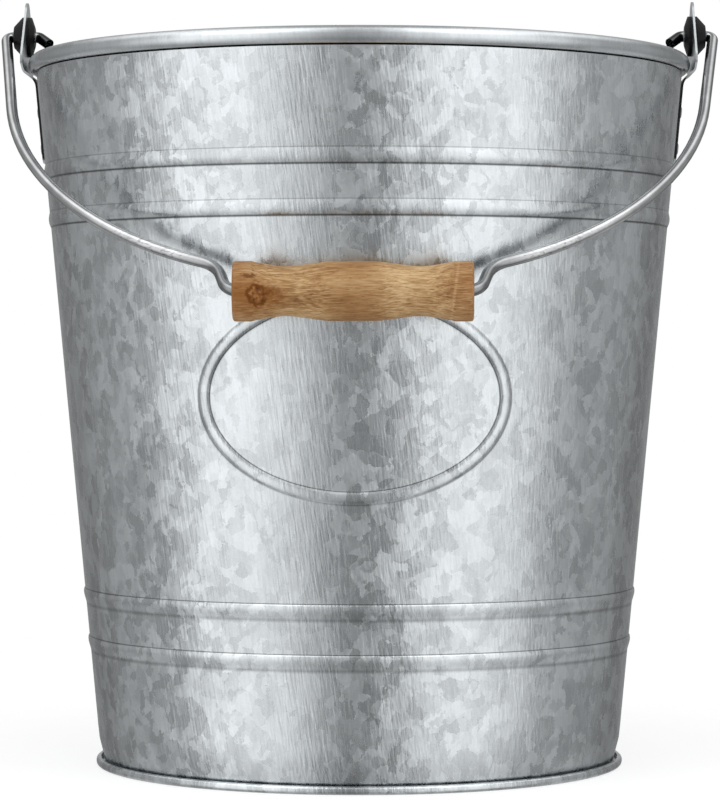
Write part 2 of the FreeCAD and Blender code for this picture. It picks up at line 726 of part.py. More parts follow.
bore_radius = D["wire_radius"] + D["run_clearance"]
bush_outer_end = ear_face + D["ear_sheet"] + D["bush_outer_length"]
plate_inside = ear_face - D["seat_clearance"]
plate_outside = ear_face + D["ear_sheet"] + D["seat_clearance"]
bush_inner_end = ear_face - D["bush_inner_length"]
right_bushing = turned_body(
    "right_bushing",
    [
        (bush_inner_end, bore_radius),
        (bush_inner_end, D["bush_inner_radius"], D["bush_edge_round"]),
        (plate_inside - D["bush_edge"], D["bush_radius"], D["bush_edge_round"]),
        (plate_inside, D["bush_radius"]),
        (plate_inside, D["bush_sleeve_radius"]),
        (plate_outside, D["bush_sleeve_radius"]),
        (plate_outside, D["bush_radius"]),
        (plate_outside + D["bush_edge"], D["bush_radius"], D["bush_edge_round"]),
        (bush_outer_end, D["bush_outer_radius"], D["bush_edge_round"]),
        (bush_outer_end, bore_radius + D["bush_mouth"]),
        (bush_outer_end - D["bush_mouth_depth"], bore_radius),
    ],
)
bind(right_bushing, "Placement.Base.z", pivot_height)
left_bushing = mirrored("left_bushing", right_bushing, FreeCAD.Vector(1, 0, 0))

# Bail wire, drawn flat and then hung from the ears until the grip lies by the can

bail_reach = D["rim_radius"] + D["bail_overreach"]
bail_half_width = bush_outer_end + D["wire_radius"] + D["bail_leg_gap"]
arch_half_width = bail_half_width - D["bail_arch_inset"]
hook_half_width = bush_inner_end - D["hook_gap"]
collar_inside = D["grip_belly"] + D["grip_flank"] + D["grip_hollow"] + D["grip_collar_round"]
grip_half_length = collar_inside + D["grip_collar"]
jog_half_width = grip_half_length + D["bail_jog_gap"]
neck_half_width = jog_half_width + D["bail_jog_lean"]
arch_run = arch_half_width - neck_half_width
arch_climb = D["bail_arch_rise"] - D["bail_jog_depth"]
arch_length = square_root(arch_run * arch_run + arch_climb * arch_climb)
leg_angle = arc_tangent((bail_reach - D["bail_arch_rise"]) / D["bail_arch_inset"])
half_turn = (leg_angle - arc_tangent(arch_climb / arch_run)) / 2
arch_bend = D["bail_arch_share"] * arch_length * cosine(half_turn) / sine(half_turn)
grip_stand = D["grip_belly_radius"] + D["oval_proud"] + D["rest_clearance"]
hang_reach = wall_radius(pivot_height) + normal_factor * grip_stand
hang_angle = wall_tilt + arc_cosine(hang_reach / (bail_reach * normal_factor))

bail_wire = doc.addObject("PartDesign::Body", "bail_wire")
bail_path = body_sketch(bail_wire, "bail_path", "XY_Plane")
draw_run(
    bail_path,
    [
        (ZERO, ZERO - bail_reach),
        (jog_half_width, ZERO - bail_reach, D["bail_jog_bend"]),
        (neck_half_width, D["bail_jog_depth"] - bail_reach, D["bail_neck_bend"]),
        (arch_half_width, D["bail_arch_rise"] - bail_reach, arch_bend),
        (bail_half_width, ZERO, D["bail_eye_bend"]),
        (hook_half_width, ZERO, D["hook_bend"]),
        (hook_half_width - D["hook_lean"], ZERO - D["hook_reach"]),
    ],
)
wire_round = body_sketch(bail_wire, "bail_wire_round", "YZ_Plane")
circle = wire_round.addGeometry(
    Part.Circle(vector(ZERO - bail_reach, ZERO), FreeCAD.Vector(0, 0, 1), D["wire_radius"].value)
)
pin(wire_round, circle, 3, ZERO - bail_reach, ZERO, "centre")
radius_rule = wire_round.addConstraint(Sketcher.Constraint("Radius", circle, D["wire_radius"].value))
wire_round.renameConstraint(radius_rule, "wire_radius")
wire_round.setExpression("Constraints.wire_radius", D["wire_radius"].text)
doc.recompute()
half_bail = bail_wire.newObject("PartDesign::AdditivePipe", "half_bail")
half_bail.Profile = wire_round
half_bail.Spine = bail_path
doc.recompute()
middle_plane = [f for f in bail_wire.Origin.OriginFeatures if f.Role == "YZ_Plane"][0]
whole_bail = bail_wire.newObject("PartDesign::Mirrored", "whole_bail")
whole_bail.Originals = [half_bail]
whole_bail.MirrorPlane = (middle_plane, [""])
bail_wire.Tip = whole_bail
bail_wire.Placement = FreeCAD.Placement(
    FreeCAD.Vector(), FreeCAD.Rotation(FreeCAD.Vector(1, 0, 0), hang_angle.value)
)
bind(bail_wire, "Placement.Rotation.Angle", hang_angle)
bind(bail_wire, "Placement.Base.z", pivot_height)

# Turned wooden grip

grip_neck = D["grip_belly"] + D["grip_flank"]
half_grip = [
    (grip_half_length, bore_radius + D["grip_flare"]),
    (grip_half_length, D["grip_collar_radius"], D["grip_collar_round"]),
    (collar_inside, D["grip_collar_radius"], D["grip_step_round"]),
    (grip_neck + D["grip_hollow"], D["grip_step_radius"], D["grip_step_round"]),
    (grip_neck, D["grip_neck_radius"], D["grip_neck_round"]),
    (D["grip_belly"], D["grip_belly_radius"], D["grip_belly_round"]),
]
bore_end = grip_half_length - D["grip_flare_depth"]


def other_half(corners):
    return [(ZERO - corner[0],) + tuple(corner[1:]) for corner in reversed(corners)]


wood_grip = turned_body(
    "wood_grip",
    half_grip + other_half(half_grip) + [(ZERO - bore_end, bore_radius), (bore_end, bore_radius)],
)
bind(wood_grip, "Placement.Base.y", ZERO - bail_reach * cosine(hang_angle))
bind(wood_grip, "Placement.Base.z", pivot_height - bail_reach * sine(hang_angle))

# Check every object, then write one file for each piece

doc.recompute()
PIECES = [
    can_wall,
    rim_wire,
    base_pan,
    left_ear,
    right_ear,
    left_ear_rivets,
    right_ear_rivets,
    left_bushing,
    right_bushing,
    bail_wire,
    wood_grip,
]
for thing in doc.Objects:
    if "Invalid" in thing.State or "Error" in thing.State:
        raise RuntimeError(f"{thing.Label} did not build: {thing.State}")
for piece in PIECES:
    if piece.Shape.isNull() or not piece.Shape.isValid():
        raise RuntimeError(f"{piece.Label} has no valid shape")
os.makedirs("parts", exist_ok=True)
for piece in PIECES:
    piece.Shape.exportStep(f"parts/{piece.Label}.step")
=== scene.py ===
import math

import bmesh
import bpy
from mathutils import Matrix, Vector


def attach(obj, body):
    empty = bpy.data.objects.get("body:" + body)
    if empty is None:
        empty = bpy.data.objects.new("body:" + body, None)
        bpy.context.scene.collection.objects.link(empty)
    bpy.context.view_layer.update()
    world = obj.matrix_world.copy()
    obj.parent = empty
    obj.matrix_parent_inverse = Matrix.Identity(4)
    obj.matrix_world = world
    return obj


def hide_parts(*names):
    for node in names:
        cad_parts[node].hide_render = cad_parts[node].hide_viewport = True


# Galvanised pail used as a trash can: its looks, the floor, the light and the camera.
# Metres. Z is up, the front of the can faces -Y, and azimuths start at the front.

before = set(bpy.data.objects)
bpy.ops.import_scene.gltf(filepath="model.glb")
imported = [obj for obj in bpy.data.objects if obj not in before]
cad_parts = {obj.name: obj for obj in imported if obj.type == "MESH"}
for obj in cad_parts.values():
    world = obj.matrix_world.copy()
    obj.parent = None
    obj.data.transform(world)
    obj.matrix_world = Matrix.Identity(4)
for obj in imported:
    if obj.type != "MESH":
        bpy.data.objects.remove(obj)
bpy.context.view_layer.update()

# Sizes of the can wall

MM = 0.001
SHEET = 0.6 * MM
FOOT_CONE_RADIUS = 98.95 * MM
RIM_RADIUS = 127.0 * MM
RIM_TOP = 271.2 * MM
RIM_ROLL = 7.2 * MM
RIM_OVERHANG = 3.08 * MM
RIM_OPENING = math.radians(50)
CAVITY_START = math.radians(268)
ROLL_END = math.radians(258)
TUCK_HEIGHT = 12.0 * MM
TUCK_DEPTH = 1.6 * MM
FLANGE_HEIGHT = 1.25 * MM
FLANGE_REACH = 1.8 * MM
BEAD_HALF_HEIGHT = 2.9 * MM
BEAD_STAND = 0.62 * MM
UPPER_BEAD_SKEW = (1.1, 1.3)
LOWER_BEAD_SKEW = (0.7, 1.6)
BEAD_HEIGHTS = [z * MM for z in (47.0, 65.1, 208.25, 226.35)]
OVAL_HEIGHT = 141.6 * MM
OVAL_OUTSIDE = (55.7 * MM, 38.3 * MM)
OVAL_INSIDE = (51.6 * MM, 33.6 * MM)
OVAL_STAND = 0.8 * MM
OVAL_FLATNESS = 3
SEAM_AZIMUTH = math.pi
SEAM_HALF_ANGLE = math.radians(2)
SEAM_EDGE = (0.85, 1.1)
SEAM_STAND = 0.6 * MM
SEAM_FOOT = 4.3 * MM
SEAM_TOP = 261.7 * MM

RIM_CENTRE_RADIUS = RIM_RADIUS - RIM_ROLL / 2
RIM_CENTRE_HEIGHT = RIM_TOP - RIM_ROLL / 2
WALL_TOP = RIM_CENTRE_HEIGHT - RIM_ROLL / 2 + SHEET / 2
SLOPE = (RIM_RADIUS - RIM_OVERHANG - FOOT_CONE_RADIUS) / WALL_TOP
TILT = math.atan(SLOPE)

# Sizes of the base pan, and its sheet's middle line as corners: radius, height, bend radius

PAN_START = 1.0 * MM
PAN_FLOOR = 5.6 * MM
PAN_SKIRT = 96.19 * MM
PAN_BEND = 2.0 * MM
PAN_FOOT_BEND = 0.9 * MM
CHIME_MIDDLE = 100.7 * MM
CHIME_TOP = 2.8 * MM
CHIME_LIP = 1.5 * MM
CHIME_FOOT_BEND = 1.1 * MM
CHIME_TOP_BEND = 1.0 * MM
PAN_LINE = [
    (PAN_START, PAN_FLOOR, 0.0),
    (PAN_SKIRT, PAN_FLOOR, PAN_BEND),
    (PAN_SKIRT, SHEET / 2, PAN_FOOT_BEND),
    (CHIME_MIDDLE, SHEET / 2, CHIME_FOOT_BEND),
    (CHIME_MIDDLE, CHIME_TOP, CHIME_TOP_BEND),
    (CHIME_MIDDLE - CHIME_LIP, CHIME_TOP, 0.0),
]

# Spacing of the meshes

BEAD_STEP = 0.3 * MM
OVAL_STEP = 0.5 * MM
COARSE_STEP = 5.0 * MM
INSIDE_STEP = 1.2 * MM
OVAL_MARGIN = 1.5 * MM
BEAD_MARGIN = 1.2 * MM
FRONT_ANGLE = math.radians(30.5)
FRONT_COLUMNS = 236
SEAM_ANGLE = math.radians(3.5)
SEAM_COLUMNS = 16
SIDE_COLUMNS = 56
ROLL_STEPS = 36
CAVITY_STEPS = 14
BEND_STEPS = 10
PAN_COLUMNS = 240
SHARP_ANGLE = math.radians(40)


def spaced(start, end, count):
    """Evenly spaced values from start to end, both included."""
    return [start + (end - start) * i / count for i in range(count + 1)]


def round_point(radius, azimuth, height):
    """Point at a distance from the can's axis."""
    return (radius * math.sin(azimuth), -radius * math.cos(azimuth), height)


def smooth_step(low, high, value):
    share = min(max((value - low) / (high - low), 0.0), 1.0)
    return share * share * (3 - 2 * share)


def bead_rise(height):
    """How far a swaged bead lifts the wall: steeper at the edge nearer to the oval."""
    for middle in BEAD_HEIGHTS:
        if abs(height - middle) < BEAD_HALF_HEIGHT:
            above = middle > OVAL_HEIGHT
            steep_edge = middle - BEAD_HALF_HEIGHT if above else middle + BEAD_HALF_HEIGHT
            share = abs(height - steep_edge) / (2 * BEAD_HALF_HEIGHT)
            steep, soft = UPPER_BEAD_SKEW if above else LOWER_BEAD_SKEW
            crown = (steep / (steep + soft)) ** steep * (soft / (steep + soft)) ** soft
            return BEAD_STAND * share ** steep * (1 - share) ** soft / crown
    return 0.0


def plain_radius(height):
    """Outer radius of the wall at a height, without the oval and the seam."""
    tuck = TUCK_DEPTH * (1 - smooth_step(0, TUCK_HEIGHT, height))
    return FOOT_CONE_RADIUS + SLOPE * height - tuck + bead_rise(height)


def ellipse_share(x, height, half_sizes):
    """Distance from the oval's middle, as a share of an ellipse's reach that way."""
    return math.hypot(x / half_sizes[0], (height - OVAL_HEIGHT) / half_sizes[1])


def oval_rise(x, y, height):
    """How far the oval frame lifts the front of the wall."""
    if y > 0:
        return 0.0
    outside = 1 - ellipse_share(x, height, OVAL_OUTSIDE)
    inside = ellipse_share(x, height, OVAL_INSIDE) - 1
    if outside <= 0 or inside <= 0:
        return 0.0
    across = 2 * outside / (outside + inside) - 1
    return OVAL_STAND * (1 - abs(across) ** OVAL_FLATNESS)


def seam_rise(azimuth, height):
    """How far the folded lock seam lifts the back of the wall."""
    if not SEAM_FOOT < height < SEAM_TOP:
        return 0.0
    away = abs(math.remainder(azimuth - SEAM_AZIMUTH, 2 * math.pi)) / SEAM_HALF_ANGLE
    return SEAM_STAND * (1 - smooth_step(*SEAM_EDGE, away))


def wall_heights(bead_step, oval_step):
    """Heights of the wall's rows: close together on the beads and the oval."""
    bead_reach = BEAD_HALF_HEIGHT + BEAD_MARGIN
    oval_reach = OVAL_OUTSIDE[1] + OVAL_MARGIN
    busy = [(z - bead_reach, z + bead_reach, bead_step) for z in BEAD_HEIGHTS]
    busy.append((OVAL_HEIGHT - oval_reach, OVAL_HEIGHT + oval_reach, oval_step))
    edges = [edge for span in busy for edge in span[:2]]
    edges = sorted([FLANGE_HEIGHT, WALL_TOP] + edges)
    heights = []
    for start, end in zip(edges, edges[1:]):
        middle = (start + end) / 2
        steps = [step for low, high, step in busy if low < middle < high] + [COARSE_STEP]
        count = max(1, math.ceil((end - start) / steps[0]))
        heights += spaced(start, end, count)[:-1]
    return heights + [WALL_TOP]


def wall_azimuths():
    """Azimuths of the wall's columns: close together on the oval and the seam."""
    spans = [
        (-FRONT_ANGLE, FRONT_ANGLE, FRONT_COLUMNS),
        (FRONT_ANGLE, SEAM_AZIMUTH - SEAM_ANGLE, SIDE_COLUMNS),
        (SEAM_AZIMUTH - SEAM_ANGLE, SEAM_AZIMUTH + SEAM_ANGLE, SEAM_COLUMNS),
        (SEAM_AZIMUTH + SEAM_ANGLE, 2 * math.pi - FRONT_ANGLE, SIDE_COLUMNS),
    ]
    azimuths = []
    for start, end, count in spans:
        azimuths += spaced(start, end, count)[:-1]
    return azimuths


def roll_arc(radius, start, end, steps):
    """Arc of the rolled rim, as a part of the wall's section."""
    return [
        (
            RIM_CENTRE_RADIUS + radius * math.cos(angle),
            RIM_CENTRE_HEIGHT + radius * math.sin(angle),
            False,
        )
        for angle in spaced(start, end, steps)
    ]


def wall_profile():
    """Closed section of the sheet as (radius, height, follows the wall)."""
    back = SHEET / math.cos(TILT)
    foot = plain_radius(FLANGE_HEIGHT)
    flange = [
        (foot - back + SHEET, FLANGE_HEIGHT - SHEET, False),
        (foot + FLANGE_REACH, FLANGE_HEIGHT - SHEET, False),
        (foot + FLANGE_REACH, FLANGE_HEIGHT, False),
    ]
    outside = [(plain_radius(z), z, True) for z in wall_heights(BEAD_STEP, OVAL_STEP)]
    cavity = roll_arc(RIM_ROLL / 2 - SHEET, CAVITY_START, -RIM_OPENING, CAVITY_STEPS)
    roll = roll_arc(RIM_ROLL / 2, -RIM_OPENING, ROLL_END, ROLL_STEPS)
    inside_heights = reversed(wall_heights(INSIDE_STEP, INSIDE_STEP))
    inside = [(plain_radius(z) - back, z, True) for z in inside_heights]
    return flange + outside + cavity + roll + inside


def join_rings(mesh, rings, closed=True):
    """Faces between each ring of points and the next one."""
    count = len(rings[0])
    nexts = rings[1:] + rings[:1] if closed else rings[1:]
    for lower, upper in zip(rings, nexts):
        for i in range(count):
            j = (i + 1) % count
            mesh.faces.new((lower[i], lower[j], upper[j], upper[i]))


def object_from(mesh, name):
    """A scene object from a built mesh."""
    data = bpy.data.meshes.new(name)
    mesh.to_mesh(data)
    mesh.free()
    piece = bpy.data.objects.new(name, data)
    bpy.context.collection.objects.link(piece)
    return piece


def sheet_from(mesh, name):
    """A scene object from a built mesh, smooth but for its sharp corners."""
    bmesh.ops.recalc_face_normals(mesh, faces=mesh.faces)
    piece = object_from(mesh, name)
    piece.data.shade_smooth()
    piece.data.set_sharp_from_angle(angle=SHARP_ANGLE)
    return piece


def build_wall():
    """The can's wall as one pressed sheet, rolled over the wire at its rim."""
    azimuths = wall_azimuths()
    mesh = bmesh.new()
    rings = []
    for radius, height, follows in wall_profile():
        ring = []
        for azimuth in azimuths:
            stand = 0.0
            if follows:
                stand = oval_rise(*round_point(radius, azimuth, height))
                stand += seam_rise(azimuth, height)
            out = radius + stand * math.cos(TILT)
            point = round_point(out, azimuth, height - stand * math.sin(TILT))
            ring.append(mesh.verts.new(point))
        rings.append(ring)
    join_rings(mesh, rings)
    return sheet_from(mesh, "can_wall_sheet")


def run_with_bends(corners):
    """Points along a line with rounded corners, each with the direction across it."""
    run = []
    befores = [None] + corners[:-1]
    afters = corners[1:] + [None]
    for before, corner, after in zip(befores, corners, afters):
        x, z, bend = corner
        into = math.atan2(z - before[1], x - before[0]) if before else None
        onward = math.atan2(after[1] - z, after[0] - x) if after else into
        into = onward if into is None else into
        turn = math.remainder(onward - into, 2 * math.pi)
        side = math.copysign(1.0, turn)
        back = bend * math.tan(abs(turn) / 2)
        centre_x = x - back * math.cos(into) - side * bend * math.sin(into)
        centre_z = z - back * math.sin(into) + side * bend * math.cos(into)
        steps = BEND_STEPS if bend else 0
        for i in range(steps + 1):
            heading = into + turn * i / max(steps, 1)
            across_x, across_z = -math.sin(heading), math.cos(heading)
            run.append((
                centre_x - side * bend * across_x,
                centre_z - side * bend * across_z,
                (across_x, across_z),
            ))
    return run


def build_pan():
    """The can's floor, its skirt and the rolled chime at the foot, as one turned sheet."""
    half = SHEET / 2
    run = run_with_bends(PAN_LINE)
    left = [(x + half * across[0], z + half * across[1]) for x, z, across in run]
    right = [(x - half * across[0], z - half * across[1]) for x, z, across in run]
    azimuths = spaced(0.0, 2 * math.pi, PAN_COLUMNS)[:-1]
    mesh = bmesh.new()
    rings = []
    for radius, height in left + right[::-1]:
        rings.append([mesh.verts.new(round_point(radius, a, height)) for a in azimuths])
    join_rings(mesh, rings, closed=False)
    mesh.faces.new(rings[0])
    mesh.faces.new(rings[-1])
    return sheet_from(mesh, "base_pan_sheet")


# Material building blocks


class Nodes:
    """Adds shader nodes to one material or world and links them."""

    def __init__(self, owner):
        owner.use_nodes = True
        self.owner = owner
        self.tree = owner.node_tree

    def add(self, kind, inputs=None, **settings):
        node = self.tree.nodes.new(kind)
        for key, value in settings.items():
            setattr(node, key, value)
        for key, value in (inputs or {}).items():
            self.feed(node.inputs[key], value)
        return node

    def feed(self, socket, value):
        if isinstance(value, bpy.types.NodeSocket):
            self.tree.links.new(value, socket)
        else:
            socket.default_value = value

    def position(self):
        return self.add("ShaderNodeTexCoord").outputs["Object"]

    def split(self, vector):
        return self.add("ShaderNodeSeparateXYZ", {"Vector": vector}).outputs

    def stretch(self, vector, scale):
        node = self.add("ShaderNodeMapping", {"Vector": vector, "Scale": scale})
        return node.outputs["Vector"]

    def noise(self, vector, scale=1.0, detail=3.0, roughness=0.5):
        inputs = {"Vector": vector, "Scale": scale, "Detail": detail, "Roughness": roughness}
        return self.add("ShaderNodeTexNoise", inputs).outputs

    def math(self, operation, a, b=0.0):
        node = self.add("ShaderNodeMath", {0: a, 1: b}, operation=operation)
        return node.outputs["Value"]

    def gap(self, value, middle):
        return self.math("ABSOLUTE", self.math("SUBTRACT", value, middle))

    def vector_math(self, operation, a, b=(0, 0, 0)):
        node = self.add("ShaderNodeVectorMath", {0: a, 1: b}, operation=operation)
        return node.outputs["Vector"]

    def scaled(self, vector, scale):
        node = self.add("ShaderNodeVectorMath", {0: vector, "Scale": scale}, operation="SCALE")
        return node.outputs["Vector"]

    def length(self, vector):
        node = self.add("ShaderNodeVectorMath", {0: vector}, operation="LENGTH")
        return node.outputs["Value"]

    def centred(self, colour):
        return self.vector_math("SUBTRACT", colour, (0.5, 0.5, 0.5))

    def spread(self, value, low, high, from_low=0.0, from_high=1.0, kind="LINEAR"):
        inputs = {
            "Value": value,
            "From Min": from_low,
            "From Max": from_high,
            "To Min": low,
            "To Max": high,
        }
        node = self.add("ShaderNodeMapRange", inputs, interpolation_type=kind)
        return node.outputs["Result"]

    def colour(self, red, green, blue):
        inputs = {"Red": red, "Green": green, "Blue": blue}
        return self.add("ShaderNodeCombineColor", inputs).outputs["Color"]

    def blend(self, share, a, b):
        node = self.add("ShaderNodeMix", data_type="RGBA")
        self.feed(node.inputs["Factor"], share)
        self.feed(node.inputs["A"], a)
        self.feed(node.inputs["B"], b)
        return [s for s in node.outputs if s.type == "RGBA"][0]

    def ramp(self, share, stops):
        node = self.add("ShaderNodeValToRGB", {"Fac": share})
        elements = node.color_ramp.elements
        while len(elements) < len(stops):
            elements.new(1.0)
        for element, (place, colour) in zip(elements, stops):
            element.position = place
            element.color = (*colour, 1.0)
        return node.outputs["Color"]

    def bump(self, height, strength, distance, normal=None):
        inputs = {"Height": height, "Strength": strength, "Distance": distance}
        if normal is not None:
            inputs["Normal"] = normal
        return self.add("ShaderNodeBump", inputs).outputs["Normal"]

    def finish(self, **sockets):
        shader = self.tree.nodes["Principled BSDF"]
        for key, value in sockets.items():
            self.feed(shader.inputs[key.replace("_", " ")], value)
        return self.owner


def material_nodes(name):
    return Nodes(bpy.data.materials.new(name))


# Span of a noise's value in which most of it lies
NOISE_RANGE = (0.3, 0.7)

# Dark lines along the beads and the oval: half widths and depths of shade
CRISP_CREASE = 0.32 * MM
WIDE_CREASE = 0.60 * MM
SOFT_CREASE = 1.0 * MM
DEEP_SHARE = 0.92
CRISP_SHARE = 0.85
UPPER_SHARE = 0.45
SOFT_SHARE = 0.38
OUTER_SHARE = 0.22
OVAL_LINE_SCALE = 40.0 * MM

# Lines of one bead: its upper (1) or lower (-1) edge, depth of shade, half width
UPPER_LINES = [(1, UPPER_SHARE, CRISP_CREASE), (-1, DEEP_SHARE, WIDE_CREASE)]
LOWER_LINES = [(1, CRISP_SHARE, CRISP_CREASE), (-1, SOFT_SHARE, SOFT_CREASE)]

# Painted shade on the edges of the ear's strap, where they sit in shadow against the wall:
# distances from its middle, heights, depth of shade
STRAP_EDGE = (0.0060, 0.0064)
STRAP_TOP = (0.2625, 0.2645)
STRAP_SHARE = 0.97

# Darker places on the wire, by distance from its middle, and their depth of shade: painted shade
# on the hooked ends, a darker stretch beside the grip, and fine scratches
PIVOT_HEIGHT = 279.4 * MM
HOOK_REACH = 8.0 * MM
HOOK_SPAN = (0.1235, 0.1250)
HOOK_SHARE = 0.9
JOG_SPAN = (0.048, 0.064)
JOG_SHARE = 0.5
SCRATCH_SPAN = (0.075, 0.095)
SCRATCH_STRETCH = (220.0, 1500.0, 1500.0)
SCRATCH_RANGE = (0.36, 0.48)
SCRATCH_SHARE = 0.4


def crease_shade(n, place):
    """Shade in the lines where a bead or the oval leaves the wall."""
    split = n.split(place)
    dark = 0.0
    for middle in BEAD_HEIGHTS:
        for edge, share, width in UPPER_LINES if middle > OVAL_HEIGHT else LOWER_LINES:
            off_line = n.gap(split["Z"], middle + edge * BEAD_HALF_HEIGHT)
            dark = n.math("MAXIMUM", dark, n.spread(off_line, share, 0.0, 0.0, width))
    from_oval = n.vector_math("SUBTRACT", place, (0.0, 0.0, OVAL_HEIGHT))
    in_front = n.math("LESS_THAN", split["Y"], 0.0)
    for half_sizes, share in ((OVAL_OUTSIDE, OUTER_SHARE), (OVAL_INSIDE, CRISP_SHARE)):
        reach = n.length(n.stretch(from_oval, (1 / half_sizes[0], 0.0, 1 / half_sizes[1])))
        off_line = n.math("MULTIPLY", n.gap(reach, 1.0), OVAL_LINE_SCALE)
        line = n.spread(off_line, share, 0.0, 0.0, CRISP_CREASE)
        dark = n.math("MAXIMUM", dark, n.math("MULTIPLY", in_front, line))
    return dark


def strap_shade(n, place):
    """Painted shade down both sides of the ear's strap, where its edges sit in shadow against the
    wall.
    """
    split = n.split(place)
    on_edge = n.spread(n.math("ABSOLUTE", split["Y"]), 0.0, STRAP_SHARE, *STRAP_EDGE)
    on_strap = n.spread(split["Z"], 1.0, 0.0, *STRAP_TOP)
    return n.math("MULTIPLY", on_edge, on_strap)


def wire_shade_and_scratches(n, place):
    """Painted shade on the hooked ends, a darker stretch beside the grip, and fine scratches near
    it.
    """
    split = n.split(place)
    off_middle = n.math("ABSOLUTE", split["X"])
    # painted shade on the hooked ends, behind the arch
    in_hook = n.spread(off_middle, HOOK_SHARE, 0.0, *HOOK_SPAN)
    behind_arch = n.math("GREATER_THAN", split["Z"], PIVOT_HEIGHT - HOOK_REACH)
    # darker stretch of wire beside the grip
    darker_by_grip = n.spread(off_middle, JOG_SHARE, 0.0, *JOG_SPAN)
    scratches = n.noise(n.stretch(place, SCRATCH_STRETCH))["Fac"]
    scratched = n.spread(scratches, SCRATCH_SHARE, 0.0, *SCRATCH_RANGE)
    scratched = n.math("MULTIPLY", scratched, n.spread(off_middle, 1.0, 0.0, *SCRATCH_SPAN))
    dark = n.math("MAXIMUM", n.math("MULTIPLY", in_hook, behind_arch), darker_by_grip)
    return n.math("MAXIMUM", dark, scratched)


def no_shade(n, place):
    return 0.0


# Flakes of the zinc: scale, softness of their edges, share in the pattern
FLAKE_SIZES = [(74.0, 0.25, 0.22), (140.0, 0.03, 0.40), (290.0, 0.02, 0.48)]
FLAKE_STRETCH = (1.0, 1.0, 0.75)
FLAKE_RANGE = (-0.25, 0.25)
FLAKE_TILT = 0.085
CALM_TILT = 0.02
WANDER_SCALE = 110.0
WANDER_ROUGHNESS = 0.62
WANDER_REACH = 0.010

# Heights between which the pattern fades towards the rim, and what stays of it there
RIM_CALM = (0.2635, 0.2645)
RIM_SHARE = 0.2

# Drawing lines, slow waves and fine grain of the zinc: bumps are strength and distance
DRAW_AXIS = (0, 1, 0)
DRAW_SLANT = math.radians(7)
DRAW_STRETCH = (1000.0, 1000.0, 90.0)
DRAW_BUMP = (0.5, 0.0002)
DRAW_SHADE = (-0.025, 0.025)
WAVE_STRETCH = (1.0, 1.0, 0.4)
WAVE_SCALE = 30.0
WAVE_BUMP = (0.35, 0.0012)
GRAIN_SCALE = 1500.0
GRAIN_SHADE = (-0.02, 0.02)

ZINC_TONE = (0.46, 0.655)
ZINC_RED = 0.95
ZINC_BLUE = 1.028
ZINC_DARK = (0.02, 0.021, 0.022, 1.0)
ZINC_ROUGHNESS = (0.24, 0.33)


def zinc_flakes(n, place):
    """Which way each crystal flake of the zinc leans."""
    wander = n.noise(place, WANDER_SCALE, detail=4.0, roughness=WANDER_ROUGHNESS)["Color"]
    offset = n.scaled(n.centred(wander), WANDER_REACH)
    crooked = n.stretch(n.vector_math("ADD", place, offset), FLAKE_STRETCH)
    lean = (0, 0, 0)
    for scale, softness, share in FLAKE_SIZES:
        inputs = {"Vector": crooked, "Scale": scale, "Smoothness": softness}
        flakes = n.add("ShaderNodeTexVoronoi", inputs, feature="SMOOTH_F1").outputs["Color"]
        lean = n.vector_math("ADD", lean, n.scaled(n.centred(flakes), share))
    return lean


def galvanised_material(name, shade_in, flake_tilt=FLAKE_TILT):
    """Hot-dipped zinc: soft and crisp crystal flakes of mixed size over fine drawing lines."""
    n = material_nodes(name)
    place = n.position()
    on_wall = n.spread(n.split(place)["Z"], 1.0, RIM_SHARE, *RIM_CALM)
    lean = n.scaled(zinc_flakes(n, place), on_wall)
    shade = n.split(lean)["X"]
    normal = n.add("ShaderNodeNewGeometry").outputs["Normal"]
    tilted = n.vector_math("ADD", normal, n.scaled(lean, flake_tilt))
    tilted = n.vector_math("NORMALIZE", tilted)
    slant = {"Vector": place, "Axis": DRAW_AXIS, "Angle": DRAW_SLANT}
    slanted = n.add("ShaderNodeVectorRotate", slant).outputs["Vector"]
    lines = n.noise(n.stretch(slanted, DRAW_STRETCH), detail=2.0)["Fac"]
    waves = n.noise(n.stretch(place, WAVE_STRETCH), WAVE_SCALE, detail=2.0)["Fac"]
    grain = n.noise(place, GRAIN_SCALE, detail=2.0)["Fac"]
    drawn = n.bump(n.math("MULTIPLY", lines, on_wall), *DRAW_BUMP, tilted)
    wavy = n.bump(waves, *WAVE_BUMP, drawn)
    value = n.spread(shade, *ZINC_TONE, *FLAKE_RANGE)
    value = n.math("ADD", value, n.spread(grain, *GRAIN_SHADE, *NOISE_RANGE))
    value = n.math("ADD", value, n.spread(lines, *DRAW_SHADE, *NOISE_RANGE))
    red = n.math("MULTIPLY", value, ZINC_RED)
    blue = n.math("MULTIPLY", value, ZINC_BLUE)
    tone = n.blend(shade_in(n, place), n.colour(red, value, blue), ZINC_DARK)
    roughness = n.spread(shade, *ZINC_ROUGHNESS, *FLAKE_RANGE)
    return n.finish(Base_Color=tone, Metallic=1.0, Roughness=roughness, Normal=wavy)


# Steel of the wire and the rivets: darkest and lightest tone, least and most roughness
WIRE_TONES = [(0.34, 0.345, 0.35), (0.46, 0.465, 0.47)]
WIRE_ROUGHNESS = (0.09, 0.16)
RIVET_TONES = [(0.40, 0.40, 0.41), (0.55, 0.55, 0.56)]
RIVET_ROUGHNESS = (0.30, 0.45)
STEEL_DARK = (0.03, 0.031, 0.032, 1.0)
STEEL_STAIN_SCALE = 130.0
STEEL_STAIN_ROUGHNESS = 0.6
MARK_SCALE = 1400.0
MARK_BUMP = (0.08, 0.0002)


